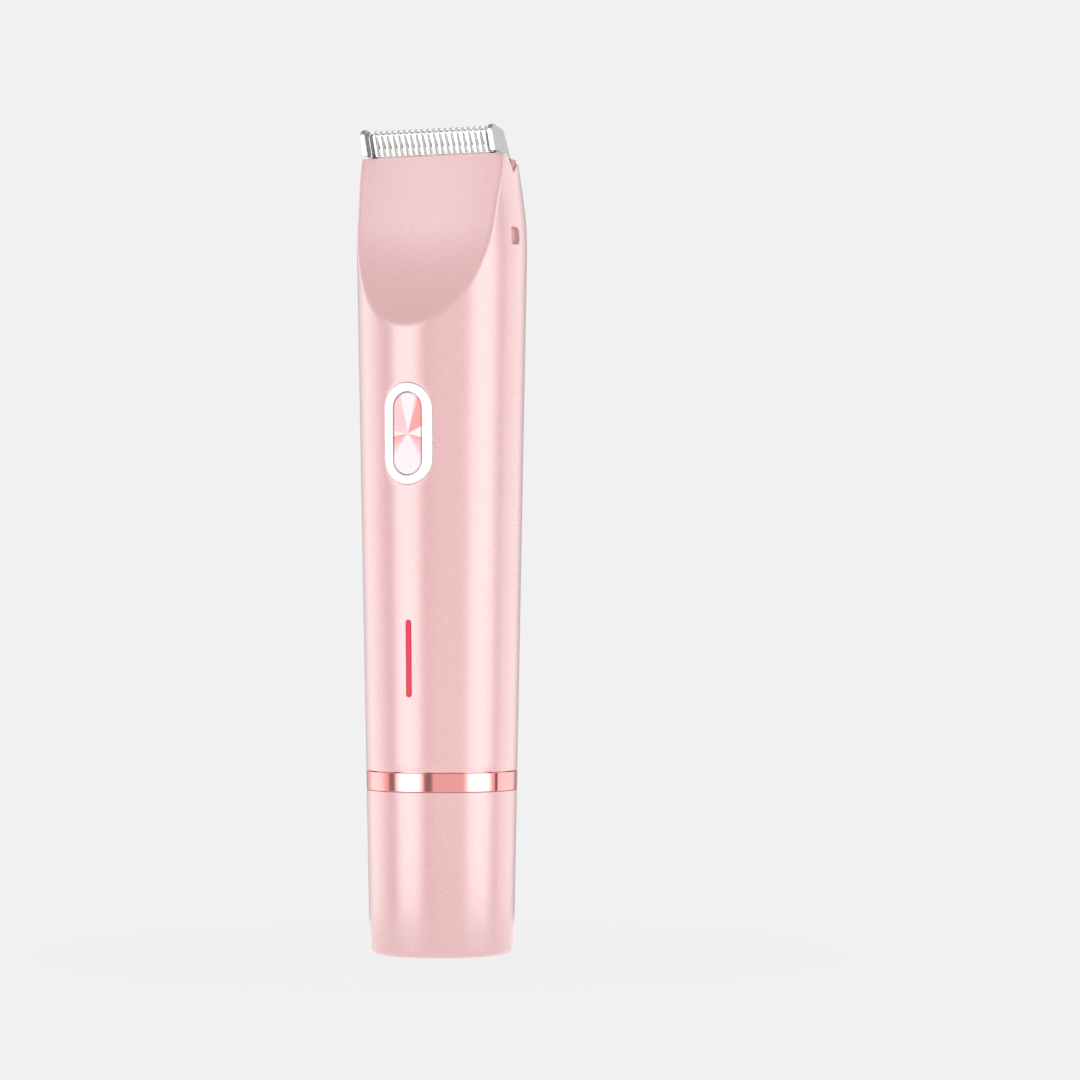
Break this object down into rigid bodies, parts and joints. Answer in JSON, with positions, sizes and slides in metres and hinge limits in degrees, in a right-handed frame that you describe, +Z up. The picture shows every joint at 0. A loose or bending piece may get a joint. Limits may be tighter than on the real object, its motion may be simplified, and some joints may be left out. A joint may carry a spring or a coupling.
{
  "type": "two-headed body trimmer",
  "caption": "Slim round-bodied electric trimmer with a comb blade on top and a round foil shaver under a pull-off cap, standing on the cap.",
  "frame": {"origin": "centre of the cap's flat closed end, which the trimmer stands on", "axes": "+Z up the body towards the comb, -Y towards the button, +X to the right seen from the button side"},
  "size_m": [0.0334, 0.0333, 0.1611],
  "materials": {
    "pearl_pink": "satin pearl lacquer",
    "clear_pink": "translucent gloss",
    "deep_pink": "semi-gloss moulded",
    "rose_gold": "polished rose-gold plating",
    "white_gloss": "high gloss",
    "button_metal": "pink anodised, turned face",
    "red_light": "translucent red",
    "led_white": "clear lens",
    "comb_steel": "ground steel",
    "guard_grey": "semi-gloss grey",
    "white_ceramic": "glazed ceramic",
    "foil_steel": "thin rolled steel",
    "spring_steel": "bright wire and screws",
    "motor_steel": "zinc plated can",
    "nickel": "nickel plated",
    "brass": "turned brass",
    "white_nylon": "moulded nylon",
    "frame_plastic": "moulded frame plastic",
    "cell_wrap": "heat-shrink sleeve",
    "board_green": "solder mask",
    "chip_black": "moulded epoxy",
    "black_rubber": "soft rubber",
    "pink_silicone": "silicone"
  },
  "bodies": {
    "handle": {"main_shell": "pearl_pink", "accent_ring": "rose_gold", "neck_collar": "clear_pink", "collar_o_ring": "black_rubber", "head_o_ring": "black_rubber", "motor_screws": "spring_steel", "shaft_seal": "black_rubber", "shaver_motor": "motor_steel", "shaver_motor_cap": "white_nylon", "chassis": "frame_plastic", "battery": "cell_wrap", "battery_tabs": "nickel", "main_board": "board_green", "board_components": "chip_black", "indicator_leds": "led_white", "light_guide": "red_light", "button_bezel": "white_gloss", "button_gasket": "pink_silicone", "tact_switch": "chip_black", "port_board": "board_green", "usb_socket": "nickel", "trimmer_motor": "motor_steel", "trimmer_motor_cap": "white_nylon", "motor_bracket": "frame_plastic", "bracket_screws": "spring_steel", "stem_seal": "black_rubber"},
    "cap": {"cap": "pearl_pink"},
    "shaver_head": {"head_housing": "pearl_pink", "shaver_foil": "foil_steel", "foil_retainer": "deep_pink"},
    "cutter": {"cutter_hub": "white_nylon", "cutter_blades": "comb_steel", "cutter_spring": "spring_steel", "drive_spindle": "white_nylon", "shaver_shaft": "spring_steel"},
    "power_button": {"power_button": "button_metal", "switch_plunger": "chip_black"},
    "port_plug": {"port_plug": "pink_silicone"},
    "trimmer_drive": {"trimmer_shaft": "spring_steel", "eccentric_cam": "brass"},
    "oscillator": {"oscillator": "white_nylon"},
    "cartridge": {"cartridge_base": "deep_pink", "comb": "comb_steel", "comb_guards": "guard_grey", "blade_spring": "spring_steel", "cartridge_screws": "spring_steel"},
    "moving_blade": {"ceramic_blade": "white_ceramic", "blade_carrier": "white_nylon"}
  },
  "joints": [
    {"name": "cap_slide", "type": "slide", "parent": "handle", "child": "cap", "axis": [0, 0, -1], "range_m": [0, 0.04]},
    {"name": "head_slide", "type": "slide", "parent": "handle", "child": "shaver_head", "axis": [0, 0, -1], "range_m": [0, 0.0115]},
    {"name": "cutter_spin", "type": "hinge", "parent": "handle", "child": "cutter", "pos_m": [0, 0, 0.02], "axis": [0, 0, 1], "continuous": true},
    {"name": "button_press", "type": "slide", "parent": "handle", "child": "power_button", "axis": [0, 1, 0], "range_m": [0, 0.0006], "stiffness_N_per_m": 2000},
    {"name": "plug_pull", "type": "slide", "parent": "handle", "child": "port_plug", "axis": [0, 1, 0], "range_m": [0, 0.005]},
    {"name": "cam_spin", "type": "hinge", "parent": "handle", "child": "trimmer_drive", "pos_m": [0, 0, 0.136], "axis": [0, 0, 1], "continuous": true},
    {"name": "oscillator_slide", "type": "slide", "parent": "handle", "child": "oscillator", "axis": [1, 0, 0], "range_m": [-0.001, 0.001]},
    {"name": "cartridge_lift", "type": "slide", "parent": "handle", "child": "cartridge", "axis": [0, 0, 1], "range_m": [0, 0.012]},
    {"name": "blade_slide", "type": "slide", "parent": "cartridge", "child": "moving_blade", "axis": [1, 0, 0], "range_m": [-0.001, 0.001]}
  ],
  "couplings": [
    {"joint": "blade_slide", "follows": "oscillator_slide", "ratio": 1}
  ]
}
